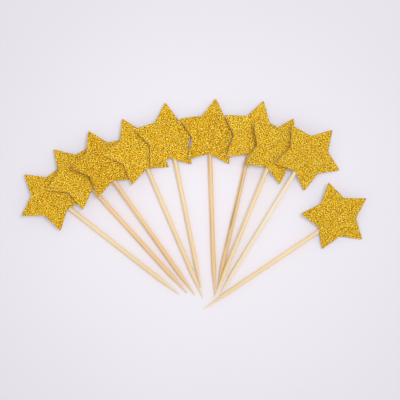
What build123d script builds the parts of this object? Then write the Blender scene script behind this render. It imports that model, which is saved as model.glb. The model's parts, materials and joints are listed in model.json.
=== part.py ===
from build123d import *
from math import asin, atan2, cos, degrees, hypot, radians, sin, tan
import os

# Star, cut from thin card with glitter bonded to its front
star_arms = 5
star_radius = 21.4
waist_radius = 12.1
arm_rounding = 0.6
corner_rounding = 1.5
card_thickness = 0.35
glitter_thickness = 0.3

# Round wooden pick: a sharpened point, a straight shank, and a head that narrows behind the star
pick_length = 100.0
pick_diameter = 2.6
point_length = 15.0
point_diameter = 0.5
head_length = 24.0
head_diameter = 2.0

# Bead of hot-melt glue around the head
bead_length = 15.0
bead_width = 7.0
bead_depth = 1.8
bead_rounding = 0.5
bead_past_head = 2.0
bead_slope = 25.0

# Air between one topper and the next, and the steps in which a pick is tried higher
lay_gap = 0.35
pitch_step = 0.05
pick_steps = 40

# The fan, from the left topper to the one that lies apart on the right.
# Places of the stars along the fan's arc, in star radii to the right of its middle line
spread_shares = (-4.24, -3.46, -2.875, -1.9, -0.94, -0.16, 1.06, 1.81, 2.575)
# Heading of the one that lies apart, from point to star, in degrees clockwise from the middle line
apart_heading = 56
# How far each star is turned on its pick, in degrees clockwise
star_turns = (1, -1.5, 9, -3, 6.5, 8.5, 3, 7.5, 11, 3)
# Places of the points, in pick diameters to the right and away from the viewer
tip_right_shares = (-5.65, -3.8, -2.1, -0.2, -0.65, 2.5, 3.05, 2.5, 3.6, 0.1)
tip_away_shares = (0.65, 0.95, 0.5, -0.15, 2.15, 0.55, 1.85, 0, 0.55, -2.6)
# Height of the shoulder behind the point, in pick diameters: a point can rest on its neighbour
tip_lift_shares = (0, 0, 0, 0, 0, 0, 0, 0.9, 0, 0)
# Star centre from the pick's head end, and to the right of the pick, in star radii
set_back_shares = (0.185, 0.18, 0.19, 0.17, 0.38, 0.165, 0.245, 0.2, 0.07, 0.19)
set_right_shares = (-0.055, -0.03, 0.065, -0.05, -0.065, 0.065, 0.02, 0.015, 0.07, -0.085)

pick_radius = pick_diameter / 2
card_face = pick_radius + card_thickness
star_top = card_face + glitter_thickness
arm_angle = 360 / star_arms
fan_count = len(spread_shares)
headings = [degrees(share * star_radius / pick_length) for share in spread_shares] + [apart_heading]


def star_corners(index):
    """Sharp corners of a star in its topper's frame: X along the pick from its point, Y to the left."""
    centre_x = pick_length - set_back_shares[index] * star_radius
    centre_y = -set_right_shares[index] * star_radius
    corners = []
    for step in range(2 * star_arms):
        radius = waist_radius if step % 2 else star_radius
        angle = radians(step * arm_angle / 2 - star_turns[index])
        corners.append((centre_x + radius * cos(angle), centre_y + radius * sin(angle)))
    return corners


def star_face(index):
    """Outline of a star, with its arms and inner corners rounded."""
    corners = star_corners(index)
    face = make_face(Polyline(*corners, close=True))
    centre = Vertex(*[sum(axis) / len(corners) for axis in zip(*corners)])
    face = fillet(face.vertices().sort_by_distance(centre)[:star_arms], corner_rounding)
    return fillet(face.vertices().sort_by_distance(centre)[-star_arms:], arm_rounding)


def make_pick():
    """Pick along X from its point, with its axis on the X axis."""
    shank_end = pick_length - head_length
    half_section = Polyline(
        (0, 0),
        (0, point_diameter / 2),
        (point_length, pick_radius),
        (shank_end, pick_radius),
        (pick_length, head_diameter / 2),
        (pick_length, 0),
        close=True,
    )
    return revolve(make_face(half_section), Axis.X)


def make_bead(pick):
    """Glue mound under the card, around the pick's head."""
    centre_x = pick_length + bead_past_head - bead_length / 2
    outline = Pos(centre_x, 0, pick_radius) * SlotOverall(bead_length, bead_width)
    mound = extrude(outline, -bead_depth, taper=bead_slope)
    mound = fillet(mound.faces().sort_by(Axis.Z)[0].edges(), bead_rounding)
    return mound - pick


def near_edge(index, left):
    """Place along the pick of the star's edge nearest the point, at a distance to the pick's left."""
    corners = star_corners(index)
    reached = []
    for (along_0, left_0), (along_1, left_1) in zip(corners, corners[1:] + corners[:1]):
        if (left_0 - left) * (left_1 - left) < 0:
            reached.append(along_0 + (along_1 - along_0) * (left - left_0) / (left_1 - left_0))
    return min(reached, default=float("inf"))


def air_over(index, place, under, under_place):
    """Least height of a topper over the star on its left, wherever that star is drawn along its pick."""
    into_under = under_place.inverse() * place
    air = []
    for along, left in star_corners(index):
        corner = (into_under * Pos(along, left, pick_radius)).position
        if corner.Y > -star_radius:
            air.append(corner.Z - star_top)
    for step in range(pick_steps + 1):
        along = point_length + (pick_length - point_length) * step / pick_steps
        spot = (into_under * Pos(along, 0, 0)).position
        sides = (spot.Y - pick_radius, spot.Y, spot.Y + pick_radius)
        if spot.X + pick_radius > min(near_edge(under, side) for side in sides):
            air.append(spot.Z - pick_radius - star_top)
    return min(air, default=float("inf"))


def lean(index, pitch, tip_height):
    """Roll that brings a star's right-hand arm down to the table."""
    angles = []
    for along, left in star_corners(index):
        height = tip_height / cos(radians(pitch)) + along * tan(radians(pitch))
        if left < -height:
            angles.append(asin(height / hypot(left, pick_radius)) + atan2(pick_radius, -left))
    return degrees(min(angles))


def lay(index, pitch):
    """Place of a topper whose shoulder and right-hand arm are on the table, at a rise of its pick."""
    lift = tip_lift_shares[index] * pick_diameter
    tip_height = lift + pick_radius * cos(radians(pitch)) - point_length * sin(radians(pitch))
    roll = lean(index, pitch, tip_height)
    tip = Pos(tip_right_shares[index] * pick_diameter, tip_away_shares[index] * pick_diameter, tip_height)
    return tip * Rot(0, 0, 90 - headings[index]) * Rot(0, -pitch, 0) * Rot(roll, 0, 0)


def lay_fan():
    """Places of all toppers: each in the fan rises just enough to lie over the star on its left."""
    places = []
    for index in range(len(headings)):
        pitch = 0
        place = lay(index, pitch)
        while 0 < index < fan_count and air_over(index, place, index - 1, places[-1]) < lay_gap:
            pitch += pitch_step
            place = lay(index, pitch)
        places.append(place)
    return places


def make_topper(index, place):
    """The four pieces of one topper, laid in place."""
    pick = make_pick()
    face = star_face(index)
    card = extrude(Pos(0, 0, pick_radius) * face, card_thickness)
    glitter = extrude(Pos(0, 0, card_face) * face, glitter_thickness)
    pieces = {"pick": pick, "star_card": card, "glitter_face": glitter, "glue_bead": make_bead(pick)}
    return {f"{name}_{index + 1:02d}": place * piece for name, piece in pieces.items()}


nodes = {}
for index, place in enumerate(lay_fan()):
    nodes.update(make_topper(index, place))

# The origin is at the middle of the set, on the table
box = Compound(list(nodes.values())).bounding_box()
to_origin = Pos(-box.center().X, -box.center().Y, -box.min.Z)

os.makedirs("parts", exist_ok=True)
for name, piece in nodes.items():
    export_step(to_origin * piece, f"parts/{name}.step")
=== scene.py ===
"""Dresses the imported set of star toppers: glitter, card, wooden picks and glue, on a pale table."""

import json
import logging
import math
import random
from dataclasses import dataclass
from enum import Enum
from typing import Any, Mapping, Sequence

import bpy
import numpy as np
from mathutils import Matrix, Vector, noise
from mathutils.kdtree import KDTree


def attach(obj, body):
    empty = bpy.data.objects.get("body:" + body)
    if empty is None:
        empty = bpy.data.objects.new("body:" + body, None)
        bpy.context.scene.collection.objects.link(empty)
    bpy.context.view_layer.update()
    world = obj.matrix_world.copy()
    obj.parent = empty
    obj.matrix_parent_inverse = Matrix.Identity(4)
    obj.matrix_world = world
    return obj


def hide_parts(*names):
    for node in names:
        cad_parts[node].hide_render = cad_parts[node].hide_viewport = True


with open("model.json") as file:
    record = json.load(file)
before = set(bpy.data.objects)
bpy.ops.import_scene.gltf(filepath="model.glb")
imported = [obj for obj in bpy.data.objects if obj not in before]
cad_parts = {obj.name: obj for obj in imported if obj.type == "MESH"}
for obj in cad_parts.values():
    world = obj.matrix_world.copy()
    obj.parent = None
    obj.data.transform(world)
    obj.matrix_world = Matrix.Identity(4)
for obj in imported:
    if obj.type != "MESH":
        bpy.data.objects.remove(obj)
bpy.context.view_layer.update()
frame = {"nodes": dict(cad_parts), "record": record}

LOG = logging.getLogger("toppers")
MM = 0.001
OWN = "own_place"
Pair = tuple[float, float]
Triple = tuple[float, float, float]
Rgb = Triple


def srgb(red: int, green: int, blue: int) -> Rgb:
    """A colour as it looks on screen, in light that nodes add up.

    Args:
        red: Share of red, 0 to 255.
        green: Share of green, 0 to 255.
        blue: Share of blue, 0 to 255.

    Returns:
        The three shares in linear light.
    """
    shares = (value / 255 for value in (red, green, blue))
    return tuple(s / 12.92 if s <= 0.04045 else ((s + 0.055) / 1.055) ** 2.4 for s in shares)


class Slot(str, Enum):
    """Material slots of the record, which also start the nodes' names."""

    PICK = "pick"
    CARD = "star_card"
    GLITTER = "glitter_face"
    GLUE = "glue_bead"

    def node(self, number: int) -> str:
        """Name of a topper's node of this slot."""
        return f"{self.value}_{number:02d}"


class Term:
    """A socket's value that Python expressions can be made of."""

    def __init__(self, sheet: "NodeSheet", socket: bpy.types.NodeSocket) -> None:
        """Wraps a socket.

        Args:
            sheet: The tree that the socket is in.
            socket: An output of one of its nodes.
        """
        self.sheet = sheet
        self.socket = socket

    def _math(self, operation: str, *values: "Term | float") -> "Term":
        """Adds a Math node for one step of an expression."""
        return self.sheet.term("ShaderNodeMath", {"operation": operation}, dict(enumerate(values)))

    def __add__(self, other: "Term | float") -> "Term":
        """Sum."""
        return self._math("ADD", self, other)

    def __radd__(self, other: float) -> "Term":
        """Sum with a number on the left."""
        return self._math("ADD", other, self)

    def __sub__(self, other: "Term | float") -> "Term":
        """Difference."""
        return self._math("SUBTRACT", self, other)

    def __rsub__(self, other: float) -> "Term":
        """Difference from a number on the left."""
        return self._math("SUBTRACT", other, self)

    def __mul__(self, other: "Term | float") -> "Term":
        """Product."""
        return self._math("MULTIPLY", self, other)

    def __rmul__(self, other: float) -> "Term":
        """Product with a number on the left."""
        return self._math("MULTIPLY", other, self)

    def rise(self, low: float, high: float) -> "Term":
        """A smooth step.

        Args:
            low: Value up to which the step is 0.
            high: Value from which it is 1.

        Returns:
            A rise from 0 to 1 between the two.
        """
        return self.sheet.term(
            "ShaderNodeMapRange",
            {"interpolation_type": "SMOOTHSTEP"},
            {"Value": self, "From Min": low, "From Max": high},
        )


class NodeSheet:
    """The node tree of a material or of the world."""

    def __init__(self, tree: bpy.types.NodeTree) -> None:
        """Empties the tree.

        Args:
            tree: The tree to fill.
        """
        self.tree = tree
        tree.nodes.clear()

    def node(
        self,
        kind: str,
        settings: Mapping[str, Any] | None = None,
        inputs: Mapping[str | int, Any] | None = None,
    ) -> bpy.types.Node:
        """Adds a node.

        Args:
            kind: Blender's name for the type of node.
            settings: Its own settings, set first; stops are a ramp's places and colours.
            inputs: Values or links of its sockets, by name or number.

        Returns:
            The node.
        """
        made = self.tree.nodes.new(kind)
        for key, value in (settings or {}).items():
            if key == "stops":
                stops = made.color_ramp.elements
                while len(stops) < len(value):
                    stops.new(1.0)
                for stop, (place, colour) in zip(stops, value):
                    stop.position, stop.color = place, (*colour, 1.0)
            else:
                setattr(made, key, value)
        for key, value in (inputs or {}).items():
            socket = made.inputs[key]
            if isinstance(value, Term):
                self.tree.links.new(value.socket, socket)
            elif isinstance(value, bpy.types.NodeSocket):
                self.tree.links.new(value, socket)
            elif socket.type == "RGBA":
                socket.default_value = (*value, 1.0)
            else:
                socket.default_value = value
        return made

    def term(
        self,
        kind: str,
        settings: Mapping[str, Any] | None = None,
        inputs: Mapping[str | int, Any] | None = None,
        output: str | int = 0,
    ) -> Term:
        """Adds a node and takes one of its outputs for expressions.

        Args:
            kind: Blender's name for the type of node.
            settings: Its own settings.
            inputs: Values or links of its sockets.
            output: Name or number of the output that is taken.

        Returns:
            That output.
        """
        return Term(self, self.node(kind, settings, inputs).outputs[output])

    def spread(self, scale: Triple) -> Term:
        """The piece's own coordinates, in metres, times a scale on each axis."""
        own = self.term("ShaderNodeAttribute", {"attribute_name": OWN}, output="Vector")
        return self.term("ShaderNodeVectorMath", {"operation": "MULTIPLY"}, {0: own, 1: scale})

    def own(self, axis: str) -> Term:
        """One of the piece's own coordinates, in metres."""
        place = self.term("ShaderNodeAttribute", {"attribute_name": OWN}, output="Vector")
        return self.term("ShaderNodeSeparateXYZ", {}, {0: place}, axis)

    def mix(self, share: Term, low: Term | Rgb, high: Term | Rgb) -> Term:
        """A colour between two others.

        Args:
            share: 0 for the first colour, 1 for the second.
            low: The first colour.
            high: The second colour.

        Returns:
            The mixed colour.
        """
        # The node has sockets for every type of value: 6, 7 and output 2 are the colours
        return self.term("ShaderNodeMix", {"data_type": "RGBA"}, {0: share, 6: low, 7: high}, 2)

    def bump(self, height: Term, distance: float, strength: float) -> Term:
        """A normal tilted by a height from 0 to 1, over a distance in metres."""
        inputs = {"Height": height, "Distance": distance, "Strength": strength}
        return self.term("ShaderNodeBump", {}, inputs)


@dataclass(frozen=True)
class Mottle:
    """Noise over a piece's own coordinates.

    Attributes:
        scale: Cells to a metre along each axis.
        detail: How many finer layers it has.
        rough: How strong the finer layers are.
    """

    scale: Triple
    detail: float = 2.0
    rough: float = 0.5

    @classmethod
    def even(cls, cells: float, detail: float = 2.0, rough: float = 0.5) -> "Mottle":
        """Noise with as many cells to a metre along every axis."""
        return cls((cells, cells, cells), detail, rough)

    def on(self, sheet: NodeSheet) -> Term:
        """Adds the noise to a node tree.

        Args:
            sheet: The tree.

        Returns:
            The noise, from 0 to 1.
        """
        place = sheet.spread(self.scale)
        inputs = {"Vector": place, "Scale": 1.0, "Detail": self.detail, "Roughness": self.rough}
        return sheet.term("ShaderNodeTexNoise", {"noise_dimensions": "3D"}, inputs)


@dataclass(frozen=True)
class Finish:
    """A finish that makes its own material.

    Attributes:
        name: The material's name.
    """

    name: str

    def surface(self, sheet: NodeSheet) -> dict[str, Any]:
        """Values and links of the shader's sockets."""
        raise NotImplementedError

    def material(self) -> bpy.types.Material:
        """Makes the material.

        Returns:
            A material whose shader has this finish.
        """
        made = bpy.data.materials.new(self.name)
        made.use_nodes = True
        sheet = NodeSheet(made.node_tree)
        shader = sheet.node("ShaderNodeBsdfPrincipled", {}, self.surface(sheet))
        sheet.node("ShaderNodeOutputMaterial", {}, {"Surface": shader.outputs[0]})
        return made


@dataclass(frozen=True)
class FoilFinish(Finish):
    """Metal-coated film of the glitter flakes, each with its own tone.

    Attributes:
        shades: Places along the tone and the film's colour there.
        dull: Roughness of the dullest flakes.
        bright: Roughness of the brightest.
        metal: How much of the film shines as metal.
        gloss: Strength of the clear reflection.
    """

    shades: Sequence[tuple[float, Rgb]]
    dull: float = 0.66
    bright: float = 0.46
    metal: float = 0.3
    gloss: float = 0.05

    def surface(self, sheet: NodeSheet) -> dict[str, Any]:
        """Colour and roughness follow each flake's tone.

        Args:
            sheet: The material's node tree.

        Returns:
            The shader's values and links, by socket.
        """
        tone = sheet.term("ShaderNodeAttribute", {"attribute_name": Glitter.TONE}, output="Fac")
        return {
            "Base Color": sheet.term("ShaderNodeValToRGB", {"stops": self.shades}, {"Fac": tone}),
            "Roughness": self.dull - (self.dull - self.bright) * tone,
            "Metallic": self.metal,
            "Specular IOR Level": self.gloss,
        }


@dataclass(frozen=True)
class BedFinish(Finish):
    """Tinted lacquer between the flakes, with painted shade in its hollows and a painted highlight on its
    raised grains.

    Attributes:
        deep: Colour in the hollows, darkened as painted shade.
        lit: Colour of the raised grains, lightened as a painted highlight.
        grain: Noise of the grains.
        clump: Noise of clumps of grains.
        grain_share: Share of the grains in the noise.
        span: Noise at which the hollows end and the raised grains begin.
        dull: Roughness in the hollows.
        bright: Roughness of the raised grains.
        metal: How much of the lacquer shines as metal.
        gloss: Strength of the clear reflection.
        depth: Depth of the hollows.
        relief: How strongly they show.
    """

    deep: Rgb
    lit: Rgb
    grain: Mottle = Mottle.even(2600.0, 3.0)
    clump: Mottle = Mottle.even(600.0)
    grain_share: float = 0.7
    span: Pair = (0.32, 0.68)
    dull: float = 0.55
    bright: float = 0.3
    metal: float = 0.3
    gloss: float = 0.1
    depth: float = 0.08 * MM
    relief: float = 0.7

    def surface(self, sheet: NodeSheet) -> dict[str, Any]:
        """Fine grains of lacquer, with painted shade in the hollows and a painted highlight on the raised
        grains.

        Args:
            sheet: The material's node tree.

        Returns:
            The shader's values and links, by socket.
        """
        grain = self.grain_share * self.grain.on(sheet) + (1 - self.grain_share) * self.clump.on(sheet)
        # Painted shade in the hollows and a painted highlight on the raised grains, which follow the
        # bump's height
        raised = grain.rise(*self.span)
        return {
            "Base Color": sheet.mix(raised, self.deep, self.lit),
            "Roughness": self.dull - (self.dull - self.bright) * raised,
            "Metallic": self.metal,
            "Specular IOR Level": self.gloss,
            "Normal": sheet.bump(raised, self.depth, self.relief),
        }


@dataclass(frozen=True)
class CardFinish(Finish):
    """Uncoated card with short fibres, its cut edge darker than its back.

    Attributes:
        fibre: Colour of the back's fibres.
        pulp: Colour between them.
        cut: Colour of the cut edge.
        back: Height of the back in the topper's own coordinates.
        edge_span: Heights over the back between which the cut edge begins.
        edge_wear: How much of the cut edge's colour the tooth takes away.
        cloud: Noise of the pulp.
        tooth: Noise of the card's fine tooth.
        cloud_share: Share of the pulp in the fibres' pattern.
        span: Noise at which the pulp ends and the fibres begin.
        dull: Roughness between the teeth.
        bright: Roughness on them.
        depth: Height of the teeth.
        relief: How strongly they show.
    """

    fibre: Rgb
    pulp: Rgb
    cut: Rgb
    back: float = 1.3 * MM
    edge_span: Pair = (0.02 * MM, 0.08 * MM)
    edge_wear: float = 0.3
    cloud: Mottle = Mottle.even(350.0, 3.0)
    tooth: Mottle = Mottle.even(4200.0, 2.0, 0.7)
    cloud_share: float = 0.55
    span: Pair = (0.3, 0.7)
    dull: float = 0.95
    bright: float = 0.8
    depth: float = 0.04 * MM
    relief: float = 0.6

    def surface(self, sheet: NodeSheet) -> dict[str, Any]:
        """Cloudy pulp with a fine tooth.

        Args:
            sheet: The material's node tree.

        Returns:
            The shader's values and links, by socket.
        """
        tooth = self.tooth.on(sheet)
        pattern = self.cloud_share * self.cloud.on(sheet) + (1 - self.cloud_share) * tooth
        colour = sheet.mix(pattern.rise(*self.span), self.pulp, self.fibre)
        edge = sheet.own("Z").rise(*(self.back + height for height in self.edge_span))
        return {
            "Base Color": sheet.mix(edge * (1.0 - self.edge_wear * tooth), colour, self.cut),
            "Roughness": self.dull - (self.dull - self.bright) * tooth,
            "Normal": sheet.bump(tooth, self.depth, self.relief),
        }


@dataclass(frozen=True)
class WoodFinish(Finish):
    """Turned pale wood, its grain along the pick, with a dark vein on its left flank that is partly
    painted shade.

    Attributes:
        early: Colour of the pale grain.
        late: Colour of the darker grain.
        vein_and_shade: Colour of a stray dark vein, laid along the pick's left flank, where it also
            serves as painted shade.
        vein_and_shade_share: How much of the vein and painted shade shows.
        vein_and_shade_side: Where the vein and painted shade lie across the pick, towards its left, in
            metres.
        vein_and_shade_span: Distances from there between which they begin.
        bands: Noise of the bands of growth.
        fibres: Noise of the fibres.
        patches: Noise that breaks the vein up.
        band_share: Share of the bands in the grain.
        span: Noise at which the pale grain ends and the darker begins.
        patch_span: Noise at which the vein's breaks end and the vein begins.
        bright: Roughness between the fibres.
        dull: Roughness of the fibres.
        depth: Height of the fibres.
        relief: How strongly they show.
    """

    early: Rgb
    late: Rgb
    vein_and_shade: Rgb = srgb(150, 112, 46)
    vein_and_shade_share: float = 0.12
    vein_and_shade_side: float = 0.9 * MM
    vein_and_shade_span: Pair = (-0.6 * MM, 0.2 * MM)
    bands: Mottle = Mottle((22.0, 900.0, 900.0), 2.0, 0.4)
    fibres: Mottle = Mottle((90.0, 5200.0, 5200.0), 2.0, 0.6)
    patches: Mottle = Mottle((38.0, 420.0, 420.0))
    band_share: float = 0.65
    span: Pair = (0.3, 0.72)
    patch_span: Pair = (0.46, 0.6)
    bright: float = 0.52
    dull: float = 0.72
    depth: float = 0.05 * MM
    relief: float = 0.5

    def surface(self, sheet: NodeSheet) -> dict[str, Any]:
        """Bands of growth, fine fibres and one vein, which is partly painted shade on the left flank.

        Args:
            sheet: The material's node tree.

        Returns:
            The shader's values and links, by socket.
        """
        fibres = self.fibres.on(sheet)
        grain = self.band_share * self.bands.on(sheet) + (1 - self.band_share) * fibres
        plain = sheet.mix(grain.rise(*self.span), self.early, self.late)
        # Partly painted shade: a dark vein along the pick's left flank, the side away from the light
        side = sheet.own("Y").rise(*(self.vein_and_shade_side + away for away in self.vein_and_shade_span))
        vein = side * self.patches.on(sheet).rise(*self.patch_span) * self.vein_and_shade_share
        return {
            "Base Color": sheet.mix(vein, plain, self.vein_and_shade),
            "Roughness": self.bright + (self.dull - self.bright) * fibres,
            "Normal": sheet.bump(fibres, self.depth, self.relief),
        }


@dataclass(frozen=True)
class GlueFinish(Finish):
    """Set hot-melt glue, cloudy under a smooth skin.

    Attributes:
        clear: Colour where it is clear.
        cloudy: Colour of the haze.
        haze: Noise of the haze.
        span: Noise at which the clear glue ends and the haze begins.
        bright: Roughness where it is clear.
        dull: Roughness of the haze.
        skin: Strength of the smooth skin's reflection.
        depth: Height of the haze's bulges.
        relief: How strongly they show.
    """

    clear: Rgb
    cloudy: Rgb
    haze: Mottle = Mottle.even(420.0, 3.0)
    span: Pair = (0.35, 0.7)
    bright: float = 0.22
    dull: float = 0.42
    skin: float = 0.3
    depth: float = 0.1 * MM
    relief: float = 0.3

    def surface(self, sheet: NodeSheet) -> dict[str, Any]:
        """Soft haze under the skin.

        Args:
            sheet: The material's node tree.

        Returns:
            The shader's values and links, by socket.
        """
        haze = self.haze.on(sheet).rise(*self.span)
        return {
            "Base Color": sheet.mix(haze, self.clear, self.cloudy),
            "Roughness": self.bright + (self.dull - self.bright) * haze,
            "Coat Weight": self.skin,
            "Normal": sheet.bump(haze, self.depth, self.relief),
        }


class Draft:
    """Points and faces of a piece while it is made."""

    def __init__(self) -> None:
        """Starts empty."""
        self.points: list[Vector] = []
        self.faces: list[tuple[int, ...]] = []

    def ring(self, points: Sequence[Vector]) -> range:
        """Adds points.

        Args:
            points: Their places.

        Returns:
            Their numbers.
        """
        first = len(self.points)
        self.points.extend(points)
        return range(first, len(self.points))

    def band(self, low: range, high: range) -> None:
        """Joins two closed rings of as many points.

        Args:
            low: Numbers of the first ring's points.
            high: Numbers of the second ring's.
        """
        for step in range(len(low)):
            after = (step + 1) % len(low)
            self.faces.append((low[step], low[after], high[after], high[step]))

    def fan(self, tip: int, rim: Sequence[int]) -> None:
        """Joins a closed ring to one point.

        Args:
            tip: Number of the point.
            rim: Numbers of the ring's points.
        """
        for step in range(len(rim)):
            self.faces.append((tip, rim[step], rim[(step + 1) % len(rim)]))

    def stack(self, levels: Sequence[Sequence[Vector]]) -> None:
        """Makes a closed solid with flat ends.

        Args:
            levels: Its outlines, each of as many points, from one end to the other.
        """
        rings = [self.ring(points) for points in levels]
        for below, above in zip(rings, rings[1:]):
            self.band(below, above)
        self.faces += [tuple(reversed(rings[0])), tuple(rings[-1])]

    def piece(self, name: str, material: bpy.types.Material, place: Matrix) -> bpy.types.Object:
        """Makes the object.

        Args:
            name: The piece's name.
            material: Its material.
            place: From its own coordinates to the row frame.

        Returns:
            The object, in the scene.
        """
        mesh = bpy.data.meshes.new(name)
        mesh.from_pydata(self.points, [], self.faces)
        mesh.materials.append(material)
        mesh.validate()
        own = mesh.attributes.new(OWN, "FLOAT_VECTOR", "POINT")
        own.data.foreach_set("vector", np.array(self.points, np.float32).ravel())
        mesh.transform(place)
        made = bpy.data.objects.new(name, mesh)
        bpy.context.scene.collection.objects.link(made)
        return made


def soften(piece: bpy.types.Object, crease: float) -> None:
    """Shades a piece smoothly, apart from its sharp edges.

    Args:
        piece: The piece.
        crease: Angle from which an edge stays sharp, in degrees.
    """
    mesh = piece.data
    mesh.polygons.foreach_set("use_smooth", [True] * len(mesh.polygons))
    mesh.set_sharp_from_angle(angle=math.radians(crease))


@dataclass(frozen=True)
class StarOutline:
    """Outline of a star in its topper's own coordinates, read from the frame.

    Attributes:
        rim: Points of the outline, anticlockwise.
        bottom: Height of the layer's underside.
        top: Height of its upper side.
    """

    # Decimals of a metre that tell two points of the rim apart
    DIGITS = 6
    # How soon the left-hand margin takes over as the rim turns to the left
    TURN = 2.0
    # Rise given to a level edge, so that nothing is divided by zero
    LEVEL = 1e-12

    rim: np.ndarray
    bottom: float
    top: float

    @classmethod
    def of_node(cls, name: str, place: Matrix) -> "StarOutline":
        """Reads the outline of a card or glitter node.

        Args:
            name: The node.
            place: From the topper's own coordinates to the row frame.

        Returns:
            The outline.
        """
        into = place.inverted()
        points = [into @ vertex.co for vertex in frame["nodes"][name].data.vertices]
        heights = [point.z for point in points]
        bottom, top = min(heights), max(heights)
        middle = (bottom + top) / 2
        found = {(round(p.x, cls.DIGITS), round(p.y, cls.DIGITS)) for p in points if p.z > middle}
        rim = np.array(sorted(found))
        turn = np.arctan2(*(rim - rim.mean(0)).T[::-1])
        return cls(rim[np.argsort(turn)], bottom, top)

    def inset(self, usual: float, left: float) -> np.ndarray:
        """The outline drawn in.

        Args:
            usual: How far it is drawn in.
            left: How far on the star's left.

        Returns:
            Points of the smaller outline, in the same order.
        """
        edges = np.roll(self.rim, -1, axis=0) - self.rim
        inward = np.stack([-edges[:, 1], edges[:, 0]], axis=1) / np.hypot(*edges.T)[:, None]
        before = np.roll(inward, 1, axis=0)
        mean = (inward + before) / (1 + (inward * before).sum(1))[:, None]
        facing = np.clip(-mean[:, 1:] * self.TURN, 0, 1)
        return self.rim + (usual + (left - usual) * facing) * mean

    def room(self, spots: np.ndarray, usual: float, left: float) -> np.ndarray:
        """How far inside the drawn-in outline each spot lies.

        Args:
            spots: Places, one in each row.
            usual: How far the outline is drawn in.
            left: How far on the star's left.

        Returns:
            Distances to the outline, below zero outside it.
        """
        start = self.inset(usual, left)
        end = np.roll(start, -1, axis=0)
        along = end - start
        away = spots[:, None, :] - start[None, :, :]
        share = np.clip((away * along).sum(2) / (along * along).sum(1), 0, 1)
        near = np.hypot(*np.moveaxis(away - share[:, :, None] * along, 2, 0)).min(1)
        x, y = spots[:, :1], spots[:, 1:]
        rises = np.where(along[:, 1] == 0, self.LEVEL, along[:, 1])
        crossed = ((start[:, 1] > y) != (end[:, 1] > y)) & (
            x < start[:, 0] + along[:, 0] * (y - start[:, 1]) / rises
        )
        return np.where(crossed.sum(1) % 2 == 1, near, -near)


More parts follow.
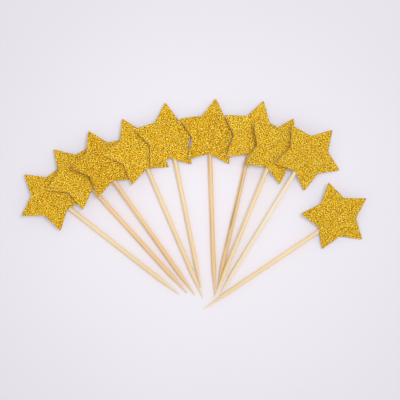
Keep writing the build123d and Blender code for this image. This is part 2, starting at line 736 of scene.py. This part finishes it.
@dataclass
class Glitter:
    """Glitter bonded to a star: a lacquer bed, and flakes that lie in it at all angles.

    Attributes:
        number: The topper's number.
        outline: The star's outline.
        shift: How much brighter or darker than the others its flakes are, as painted light for the light
            its star's tilt catches.
        rubbed: Width of card that shows on the left, where the star rubs on its neighbour.
        pitch: Spacing of the flakes.
        jitter: How far a flake strays from its place, in spacings.
        sizes: Least and greatest radius of a flake.
        bed: Thickness of the bed.
        bare: Width of card that shows at the cut edge.
        least: Radius of the smallest flake.
        root: Height of a flake's lower point, in shares of the bed.
        tilt: Usual and greatest tilt of a flake, in degrees.
        mid_tone: Tone of an ordinary flake.
        contrast: How far the tones of the flakes differ.
        mixing: Distance within which bright and dull flakes are mixed.
        evenness: How well they are mixed there.
    """

    TONE = "tone"
    UV = "OFBake"
    SIDES = 6
    # Radius of a flake's face on its cell of the map, and of its sides' lower points around it
    CELL = (0.26, 0.46)

    number: int
    outline: StarOutline
    shift: float
    rubbed: float
    pitch: float = 0.44 * MM
    jitter: float = 0.45
    sizes: Pair = (0.19 * MM, 0.33 * MM)
    bed: float = 0.13 * MM
    bare: float = 0.03 * MM
    least: float = 0.1 * MM
    root: float = 0.125
    tilt: Pair = (9.0, 20.0)
    mid_tone: float = 0.5
    contrast: float = 0.46
    mixing: float = 0.85 * MM
    evenness: float = 0.82

    def make_bed(self, material: bpy.types.Material, place: Matrix) -> bpy.types.Object:
        """Makes the bed, a thin star.

        Args:
            material: Its lacquer.
            place: From the topper's own coordinates to the row frame.

        Returns:
            The piece.
        """
        rim = self.outline.inset(self.bare, self.rubbed)
        heights = (self.outline.bottom, self.outline.bottom + self.bed)
        draft = Draft()
        draft.stack([[Vector((x, y, height)) for x, y in rim] for height in heights])
        return draft.piece(f"glitter_bed_{self.number:02d}", material, place)

    def spots(self, chance: random.Random) -> np.ndarray:
        """Scatters places for flakes over the star's whole box.

        Args:
            chance: The source of how far each strays.

        Returns:
            The places, one in each row.
        """
        low, high = self.outline.rim.min(0), self.outline.rim.max(0)
        row_step = self.pitch * math.sqrt(3) / 2
        found = []
        for row in range(int((high[1] - low[1]) / row_step) + 1):
            for column in range(int((high[0] - low[0]) / self.pitch) + 1):
                x = low[0] + (column + row % 2 / 2) * self.pitch
                y = low[1] + row * row_step
                stray = (chance.uniform(-self.jitter, self.jitter) * self.pitch for _ in range(2))
                found.append([base + off for base, off in zip((x, y), stray)])
        return np.array(found)

    def add_flake(self, draft: Draft, chance: random.Random, spot: np.ndarray, room: float) -> None:
        """Adds one flake: a flat tilted hexagon, closed by a point below it.

        Args:
            draft: The piece that it is added to.
            chance: The source of its tilt and size.
            spot: Its place on the star.
            room: Distance to the star's cut edge.
        """
        usual, most = self.tilt
        radius = min(chance.uniform(*self.sizes), room)
        steep = math.tan(math.radians(min(abs(chance.gauss(0, usual)), most)))
        toward, turn = (chance.uniform(0, math.tau) for _ in range(2))
        ceiling = self.outline.top - self.outline.bottom
        steep = min(steep, (ceiling - self.bed) / (2 * radius))
        middle = chance.uniform(self.bed, ceiling - radius * steep)
        rim = []
        for side in range(self.SIDES):
            angle = turn + math.tau * side / self.SIDES
            x, y = radius * math.cos(angle), radius * math.sin(angle)
            rise = steep * (x * math.cos(toward) + y * math.sin(toward))
            rim.append(Vector((spot[0] + x, spot[1] + y, self.outline.bottom + middle + rise)))
        ring = draft.ring(rim)
        foot = draft.ring([Vector((*spot, self.outline.bottom + self.bed * self.root))])[0]
        draft.faces.append(tuple(ring))
        draft.fan(foot, tuple(reversed(ring)))

    def make_flakes(self, material: bpy.types.Material, place: Matrix) -> bpy.types.Object:
        """Makes all flakes as one piece.

        Args:
            material: Their film.
            place: From the topper's own coordinates to the row frame.

        Returns:
            The piece.
        """
        chance = random.Random(self.number)
        draft = Draft()
        spots = self.spots(chance)
        room = self.outline.room(spots, self.bare, self.rubbed)
        spots, room = spots[room > self.least], room[room > self.least]
        for spot, space in zip(spots, room):
            self.add_flake(draft, chance, spot, space)
        made = draft.piece(f"glitter_flakes_{self.number:02d}", material, place)
        tone = made.data.attributes.new(self.TONE, "FLOAT", "FACE")
        tone.data.foreach_set("value", np.repeat(self.tones(chance, spots), self.SIDES + 1))
        self.lay_out(made.data, len(spots))
        return made

    def tones(self, chance: random.Random, spots: np.ndarray) -> np.ndarray:
        """Tones of the flakes, bright ones next to dull ones, all shifted by the star's painted light.

        Args:
            chance: The source of the tones.
            spots: Places of the flakes.

        Returns:
            A tone for each flake, 0 dull to 1 bright.
        """
        drawn = np.array([chance.gauss(0, self.contrast) for _ in spots])
        tree = KDTree(len(spots))
        for index, spot in enumerate(spots):
            tree.insert((*spot, 0), index)
        tree.balance()
        around = [tree.find_range((*spot, 0), self.mixing) for spot in spots]
        means = np.array([drawn[[index for _, index, _ in near]].mean() for near in around])
        evened = drawn - self.evenness * means
        # Painted light: the whole star's flakes are lightened or darkened for the light its tilt catches
        return np.clip(self.mid_tone + self.shift + evened, 0, 1)

    def lay_out(self, mesh: bpy.types.Mesh, count: int) -> None:
        """Gives each flake a cell of its own on the texture map.

        Args:
            mesh: The flakes' mesh.
            count: How many flakes it has.
        """
        inner, outer = self.CELL
        corner = [math.tau * side / self.SIDES for side in range(self.SIDES)]
        hexagon = [(inner * math.cos(a), inner * math.sin(a)) for a in corner]
        half = math.pi / self.SIDES
        points = [(outer * math.cos(a + half), outer * math.sin(a + half)) for a in corner]
        cell = list(hexagon)
        for step in range(self.SIDES):
            last = (-step - 1) % self.SIDES
            cell += [points[last - 1], hexagon[last], hexagon[last - 1]]
        side = math.ceil(math.sqrt(count))
        cells = np.arange(count)
        corners = np.stack([cells % side, cells // side], axis=1) + 0.5
        spread = (corners[:, None, :] + np.array(cell)[None, :, :]) / side
        mesh.uv_layers.new(name=self.UV).data.foreach_set("uv", spread.astype(np.float32).ravel())


@dataclass
class WoodPick:
    """Round pick with a sharpened point, along X from the point.

    Attributes:
        number: The topper's number.
        length: Whole length.
        radius: Radius of the shank.
        point: Length of the sharpened point.
        point_radius: Radius at its very end.
        head: Length over which the head narrows.
        head_radius: Radius of the head's end.
        segments: Points around it.
        point_steps: Steps along the point.
        shank_steps: Steps along the rest.
        fibre: Depth of the hollows between fibres.
        grain: Noise of the hollows: cells to a metre, cells around, and from pick to pick.
        whittle: How deep the point's cuts go.
        cuts: Noise of the cuts, likewise.
        deepest: Greatest depth of both, in radii.
        crease: Angle from which an edge stays sharp, in degrees.
    """

    number: int
    length: float = 100 * MM
    radius: float = 1.3 * MM
    point: float = 15 * MM
    point_radius: float = 0.25 * MM
    head: float = 24 * MM
    head_radius: float = 1.0 * MM
    segments: int = 28
    point_steps: int = 12
    shank_steps: int = 44
    fibre: float = 0.05 * MM
    grain: Triple = (60.0, 3.4, 9.1)
    whittle: float = 0.12 * MM
    cuts: Triple = (90.0, 1.3, 4.7)
    deepest: float = 0.45
    crease: float = 40.0

    @property
    def shank_middle(self) -> float:
        """Distance from the point to the middle of the straight shank."""
        return (self.point + self.length - self.head) / 2

    def radius_at(self, along: float) -> float:
        """Finds how thick the turned wood is.

        Args:
            along: Distance from the point.

        Returns:
            The radius there.
        """
        if along < self.point:
            return self.point_radius + (self.radius - self.point_radius) * along / self.point
        past = max(0.0, along - self.length + self.head) / self.head
        return self.radius + (self.head_radius - self.radius) * past

    def stations(self) -> list[float]:
        """Divides the pick along its length.

        Returns:
            Distances from the point at which the pick is drawn.
        """
        rest = self.length - self.point
        point = [self.point * (step / self.point_steps) for step in range(self.point_steps + 1)]
        shank = [self.point + rest * step / self.shank_steps for step in range(1, self.shank_steps + 1)]
        return point + shank

    def ripple(self, along: float, angle: float, cells: Triple) -> float:
        """Noise over the pick's skin.

        Args:
            along: Distance from the point.
            angle: Direction from the axis.
            cells: Cells to a metre, cells around, and from pick to pick.

        Returns:
            The noise there, from 0 to 1.
        """
        run, around, apart = cells
        across, up = around * math.cos(angle), around * math.sin(angle)
        return 0.5 + 0.5 * noise.noise(Vector((along * run, across, up + self.number * apart)))

    def hollow(self, along: float, angle: float) -> float:
        """Finds how deep the surface is below the turned wood.

        Args:
            along: Distance from the point.
            angle: Direction from the axis.

        Returns:
            The depth there.
        """
        depth = self.fibre * self.ripple(along, angle, self.grain)
        if along < self.point:
            share = math.sin(math.pi * along / self.point)
            depth += self.whittle * share * self.ripple(along, angle, self.cuts)
        return min(depth, self.deepest * self.radius_at(along))

    def make(self, material: bpy.types.Material, place: Matrix) -> bpy.types.Object:
        """Makes the pick.

        Args:
            material: Its wood.
            place: From the topper's own coordinates to the row frame.

        Returns:
            The piece.
        """
        draft = Draft()
        rings = []
        for along in self.stations():
            points = []
            for step in range(self.segments):
                angle = math.tau * step / self.segments
                radius = self.radius_at(along) - self.hollow(along, angle)
                points.append(Vector((along, radius * math.cos(angle), radius * math.sin(angle))))
            rings.append(draft.ring(points))
        for low, high in zip(rings, rings[1:]):
            draft.band(low, high)
        ends = draft.ring([Vector((0, 0, 0)), Vector((self.length, 0, 0))])
        draft.fan(ends[0], tuple(reversed(rings[0])))
        draft.fan(ends[1], rings[-1])
        made = draft.piece(f"wood_pick_{self.number:02d}", material, place)
        soften(made, self.crease)
        return made


@dataclass
class StarCard:
    """Die-cut card of a star, its cut edge a little rounded.

    Attributes:
        number: The topper's number.
        outline: The outline of its card.
        rounding: Width and height of the rounded edge.
    """

    number: int
    outline: StarOutline
    rounding: float = 0.06 * MM

    def make(self, material: bpy.types.Material, place: Matrix) -> bpy.types.Object:
        """Makes the card.

        Args:
            material: Its finish.
            place: From the topper's own coordinates to the row frame.

        Returns:
            The piece.
        """
        low, high = self.outline.bottom, self.outline.top
        drawn_in = self.outline.inset(self.rounding, self.rounding)
        levels = (
            (drawn_in, low),
            (self.outline.rim, low + self.rounding),
            (self.outline.rim, high - self.rounding),
            (drawn_in, high),
        )
        draft = Draft()
        draft.stack([[Vector((x, y, height)) for x, y in rim] for rim, height in levels])
        return draft.piece(f"card_star_{self.number:02d}", material, place)


@dataclass
class GlueBead:
    """Mound of glue between the card's back and the pick's head.

    Attributes:
        number: The topper's number.
        middle: Place of its middle along the pick.
        straight: Length between its round ends.
        radius: Radius of its ends.
        back: Height of the card's back.
        depth: How far it stands out from the card.
        waves: How far its outline and its skin draw in, at most.
        lumps: Noise of the waves: cells around, and from bead to bead.
        blend: How soon the straight sides run into the ends.
        flank: How the mound draws in as it rises; below 1 is fuller than round.
        dome: How it rises towards its middle, likewise.
        top: How far up its quarter turn the flat top begins.
        rings: Steps from the card to the top of the mound.
        segments: Points around it.
        crease: Angle from which an edge stays sharp, in degrees.
    """

    number: int
    middle: float = 94.5 * MM
    straight: float = 8.0 * MM
    radius: float = 3.5 * MM
    back: float = 1.3 * MM
    depth: float = 1.8 * MM
    waves: float = 0.16
    lumps: Pair = (1.4, 5.3)
    blend: float = 3.0
    flank: float = 0.6
    dome: float = 0.8
    top: float = 0.96
    rings: int = 9
    segments: int = 48
    crease: float = 50.0

    def spot(self, angle: float, climb: float) -> Vector:
        """A point of the mound's skin.

        Args:
            angle: Direction from its middle line.
            climb: 0 at the card and a quarter turn at the top.

        Returns:
            The point, in the topper's own coordinates.
        """
        around, apart = self.lumps
        run, side = math.cos(angle), math.sin(angle)
        wave = noise.noise(Vector((around * run, around * side, self.number * apart + climb)))
        full = 1 - self.waves * (0.5 + 0.5 * wave)
        reach = full * self.radius * math.cos(climb) ** self.flank
        end = math.copysign(self.straight / 2, run) * min(1.0, self.blend * abs(run))
        drop = full * self.depth * math.sin(climb) ** self.dome
        return Vector((self.middle + end + reach * run, reach * side, self.back - drop))

    def make(self, material: bpy.types.Material, place: Matrix) -> bpy.types.Object:
        """Makes the bead.

        Args:
            material: Its finish.
            place: From the topper's own coordinates to the row frame.

        Returns:
            The piece.
        """
        angles = [-math.tau * step / self.segments for step in range(self.segments)]
        climbs = [math.pi / 2 * self.top * level / (self.rings - 1) for level in range(self.rings)]
        draft = Draft()
        draft.stack([[self.spot(angle, climb) for angle in angles] for climb in climbs])
        made = draft.piece(f"glue_mound_{self.number:02d}", material, place)
        soften(made, self.crease)
        return made


class WoodTone(Enum):
    """Tones of wood that show in the set."""

    # Every tone lays its vein along the pick's left flank: partly a real vein, partly painted shade
    HONEY = WoodFinish("wood_honey", srgb(251, 228, 186), srgb(238, 206, 156))
    AMBER = WoodFinish("wood_amber", srgb(250, 216, 166), srgb(233, 192, 134), srgb(190, 124, 72), 0.4)
    PALE = WoodFinish("wood_pale", srgb(252, 237, 210), srgb(243, 221, 182))
    VEINED = WoodFinish(
        "wood_veined", srgb(246, 214, 164), srgb(228, 190, 130), vein_and_shade_share=0.6, vein_and_shade_side=0.4 * MM
    )


@dataclass(frozen=True)
class Finishes:
    """The materials that all toppers share.

    Attributes:
        foil: Film of the flakes.
        bed: Lacquer between them.
        card: Card of the stars.
        glue: Glue on the picks' heads.
        woods: Wood of the picks, by tone.
    """

    foil: bpy.types.Material
    bed: bpy.types.Material
    card: bpy.types.Material
    glue: bpy.types.Material
    woods: Mapping[WoodTone, bpy.types.Material]


@dataclass(frozen=True)
class TopperLook:
    """What sets one topper apart from the next.

    Attributes:
        shift: How much brighter or darker its flakes are, as painted light for the light its tilted star
            catches.
        wood: Tone of its pick.
        rubbed: Width of card that shows on the left of its star.
    """

    shift: float
    wood: WoodTone
    rubbed: float = 0.05 * MM


# Each look's first value is painted light: a star's flakes lightened or darkened for the light its tilt
# catches
LOOKS = (
    TopperLook(0.0, WoodTone.HONEY),
    TopperLook(0.03, WoodTone.AMBER),
    TopperLook(-0.08, WoodTone.AMBER),
    TopperLook(0.02, WoodTone.HONEY, 0.08 * MM),
    TopperLook(0.0, WoodTone.HONEY, 0.06 * MM),
    TopperLook(-0.03, WoodTone.AMBER, 0.14 * MM),
    TopperLook(0.07, WoodTone.VEINED, 0.14 * MM),
    TopperLook(0.07, WoodTone.HONEY),
    TopperLook(0.06, WoodTone.PALE, 0.1 * MM),
    TopperLook(0.03, WoodTone.HONEY),
)


@dataclass
class Topper:
    """One topper: pick, card, glitter and glue.

    Attributes:
        number: Its number, from the left.
        look: What sets it apart.
    """

    # Least upward lean of the faces that make up the front of a star
    UPWARD = 0.7

    number: int
    look: TopperLook

    @property
    def body(self) -> str:
        """Name of the body that its pieces ride on."""
        return f"topper_{self.number:02d}"

    def place(self) -> Matrix:
        """Finds how the topper lies.

        Returns:
            From its own coordinates, X from point to head and Z out of the star's face, to the row frame.
        """
        name = f"pick_{self.number:02d}_shank"
        mount = next(m for m in frame["record"]["mounts"] if m["name"] == name)
        to_point = Vector(mount["axis"]).normalized()
        tip = Vector(mount["pos_m"]) + to_point * WoodPick(self.number).shank_middle
        out = Vector()
        for face in frame["nodes"][Slot.GLITTER.node(self.number)].data.polygons:
            if face.normal.z > self.UPWARD:
                out += face.normal * face.area
        left = out.cross(-to_point).normalized()
        out = (-to_point).cross(left)
        turn = Matrix((-to_point, left, out)).transposed().to_4x4()
        return Matrix.Translation(tip) @ turn

    def seat(self, piece: bpy.types.Object, slot: Slot, stands_in: bool = True) -> None:
        """Puts a piece on the topper's body.

        Args:
            piece: The piece.
            slot: The slot whose node the piece stands in for.
            stands_in: Whether it stands for the slot's node.
        """
        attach(piece, self.body)
        if stands_in:
            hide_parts(slot.node(self.number))
        LOG.info("%s rides on %s", piece.name, self.body)

    def dress(self, finishes: Finishes) -> None:
        """Makes the pieces and hides the nodes that they stand in for.

        Args:
            finishes: The shared materials.
        """
        place = self.place()
        outline = StarOutline.of_node(Slot.GLITTER.node(self.number), place)
        glitter = Glitter(self.number, outline, self.look.shift, self.look.rubbed)
        card = StarCard(self.number, StarOutline.of_node(Slot.CARD.node(self.number), place))
        wood = finishes.woods[self.look.wood]
        self.seat(glitter.make_bed(finishes.bed, place), Slot.GLITTER)
        self.seat(glitter.make_flakes(finishes.foil, place), Slot.GLITTER, stands_in=False)
        self.seat(WoodPick(self.number).make(wood, place), Slot.PICK)
        self.seat(card.make(finishes.card, place), Slot.CARD)
        self.seat(GlueBead(self.number).make(finishes.glue, place), Slot.GLUE)


@dataclass(frozen=True)
class TableFinish(Finish):
    """Pale painted table, with painted light: brightest in the middle and darker further out as painted
    shade.

    Attributes:
        paint: Its colour in the middle, where the painted light is brightest.
        painted_falloff_level: How bright the paint is further out as painted shade, in shares of that.
        painted_falloff_reach: Distance from the middle at which the painted shade is as dark as that.
        painted_falloff_share: Share of the painted shade in the pattern; the rest is cloud.
        cloud: Noise of the paint's clouds.
        span: Noise at which one cloud ends and the next begins.
        dull: Roughness.
        gloss: Strength of the clear reflection.
    """

    paint: Rgb
    painted_falloff_level: float = 0.84
    painted_falloff_reach: float = 0.2
    painted_falloff_share: float = 0.94
    cloud: Mottle = Mottle.even(9.0)
    span: Pair = (0.3, 0.7)
    dull: float = 0.8
    gloss: float = 0.2

    def surface(self, sheet: NodeSheet) -> dict[str, Any]:
        """Even paint with painted shade that darkens it outward, and a trace of cloud.

        Args:
            sheet: The material's node tree.

        Returns:
            The shader's values and links, by socket.
        """
        flat = sheet.spread((1.0, 1.0, 0.0))
        out = sheet.term("ShaderNodeVectorMath", {"operation": "LENGTH"}, {0: flat}, "Value")
        cloud = self.cloud.on(sheet).rise(*self.span)
        # Painted shade: the paint darkens away from the middle, standing in for light that falls off
        # there
        away = self.painted_falloff_share * out.rise(0.0, self.painted_falloff_reach) + (1 - self.painted_falloff_share) * cloud
        far = tuple(self.painted_falloff_level * share for share in self.paint)
        return {
            "Base Color": sheet.mix(away, self.paint, far),
            "Roughness": self.dull,
            "Specular IOR Level": self.gloss,
        }


@dataclass
class Studio:
    """Table, lamp, sky and camera.

    Attributes:
        view_centre: Point of the table in the middle of the picture.
        view_side: Width of the table that the picture shows.
        view_height: Height of the camera.
        sensor: Width of the camera's sensor, in millimetres.
        clip: Nearest and furthest distance that the camera sees.
        table: Finish of the table.
        table_radius: Radius of the table.
        table_steps: Points around it.
        table_drop: Air between the toppers and the table.
        sky: Colour of the light from all sides.
        sky_level: Its strength.
        key_place: Place of the lamp.
        key_side: Its width and height.
        key_watts: Its strength.
    """

    view_centre: Pair = (3.48 * MM, 2.3 * MM)
    view_side: float = 239.6 * MM
    view_height: float = 1.0
    sensor: float = 36.0
    clip: Pair = (0.01, 50.0)
    table: TableFinish = TableFinish("table_paint", srgb(246, 242, 250))
    table_radius: float = 4.0
    table_steps: int = 96
    table_drop: float = 0.05 * MM
    sky: Rgb = (1.0, 1.0, 1.0)
    sky_level: float = 0.77
    key_place: Triple = (0.5, 0.3, 1.7)
    key_side: float = 0.5
    key_watts: float = 8.0

    def make_camera(self) -> None:
        """Looks straight down, as the photograph does."""
        lens = bpy.data.cameras.new("camera")
        lens.sensor_width = self.sensor
        lens.lens = self.sensor * self.view_height / self.view_side
        lens.clip_start, lens.clip_end = self.clip
        camera = bpy.data.objects.new("camera", lens)
        camera.location = (*self.view_centre, self.view_height)
        bpy.context.scene.collection.objects.link(camera)
        bpy.context.scene.camera = camera

    def make_table(self) -> None:
        """Makes the table that the toppers lie on."""
        draft = Draft()
        angles = [math.tau * step / self.table_steps for step in range(self.table_steps)]
        rim = [self.table_radius * Vector((math.cos(angle), math.sin(angle), 0)) for angle in angles]
        draft.faces.append(tuple(draft.ring(rim)))
        level = Matrix.Translation((0, 0, -self.table_drop))
        draft.piece("table", self.table.material(), level)

    def make_lamp(self) -> None:
        """Hangs a square soft lamp that faces the toppers."""
        lamp = bpy.data.lights.new("key", "AREA")
        lamp.shape, lamp.size, lamp.energy = "SQUARE", self.key_side, self.key_watts
        hung = bpy.data.objects.new("key", lamp)
        hung.location = self.key_place
        hung.rotation_euler = (-hung.location).to_track_quat("-Z", "Y").to_euler()
        bpy.context.scene.collection.objects.link(hung)

    def make_sky(self) -> None:
        """Makes the light from all sides."""
        world = bpy.data.worlds.new("sky")
        world.use_nodes = True
        bpy.context.scene.world = world
        sheet = NodeSheet(world.node_tree)
        glow = sheet.node("ShaderNodeBackground", {}, {"Color": self.sky, "Strength": self.sky_level})
        sheet.node("ShaderNodeOutputWorld", {}, {"Surface": glow.outputs[0]})

    def build(self) -> None:
        """Sets up sky, camera, table and lamp."""
        bpy.context.scene.view_settings.view_transform = "Standard"
        self.make_sky()
        self.make_camera()
        self.make_table()
        self.make_lamp()


def make_finishes() -> Finishes:
    """Makes the materials.

    Returns:
        The materials that all toppers share.
    """
    foil = FoilFinish(
        "glitter_foil",
        (
            (0.0, srgb(142, 89, 0)),
            (0.3, srgb(202, 146, 0)),
            (0.55, srgb(239, 185, 15)),
            (0.8, srgb(255, 212, 54)),
            (1.0, srgb(255, 233, 102)),
        ),
    )
    bed = BedFinish("glitter_lacquer", srgb(150, 104, 14), srgb(206, 158, 38))
    card = CardFinish("star_card", srgb(244, 241, 236), srgb(230, 226, 219), srgb(234, 200, 148))
    glue = GlueFinish("hot_glue", srgb(232, 222, 196), srgb(248, 243, 230))
    return Finishes(
        foil=foil.material(),
        bed=bed.material(),
        card=card.material(),
        glue=glue.material(),
        woods={tone: tone.value.material() for tone in WoodTone},
    )


def main() -> None:
    """Builds the studio and dresses each topper."""
    logging.basicConfig(level=logging.INFO, format="%(name)s: %(message)s")
    Studio().build()
    finishes = make_finishes()
    for number, look in enumerate(LOOKS, start=1):
        Topper(number, look).dress(finishes)


if __name__ == "__main__":
    main()
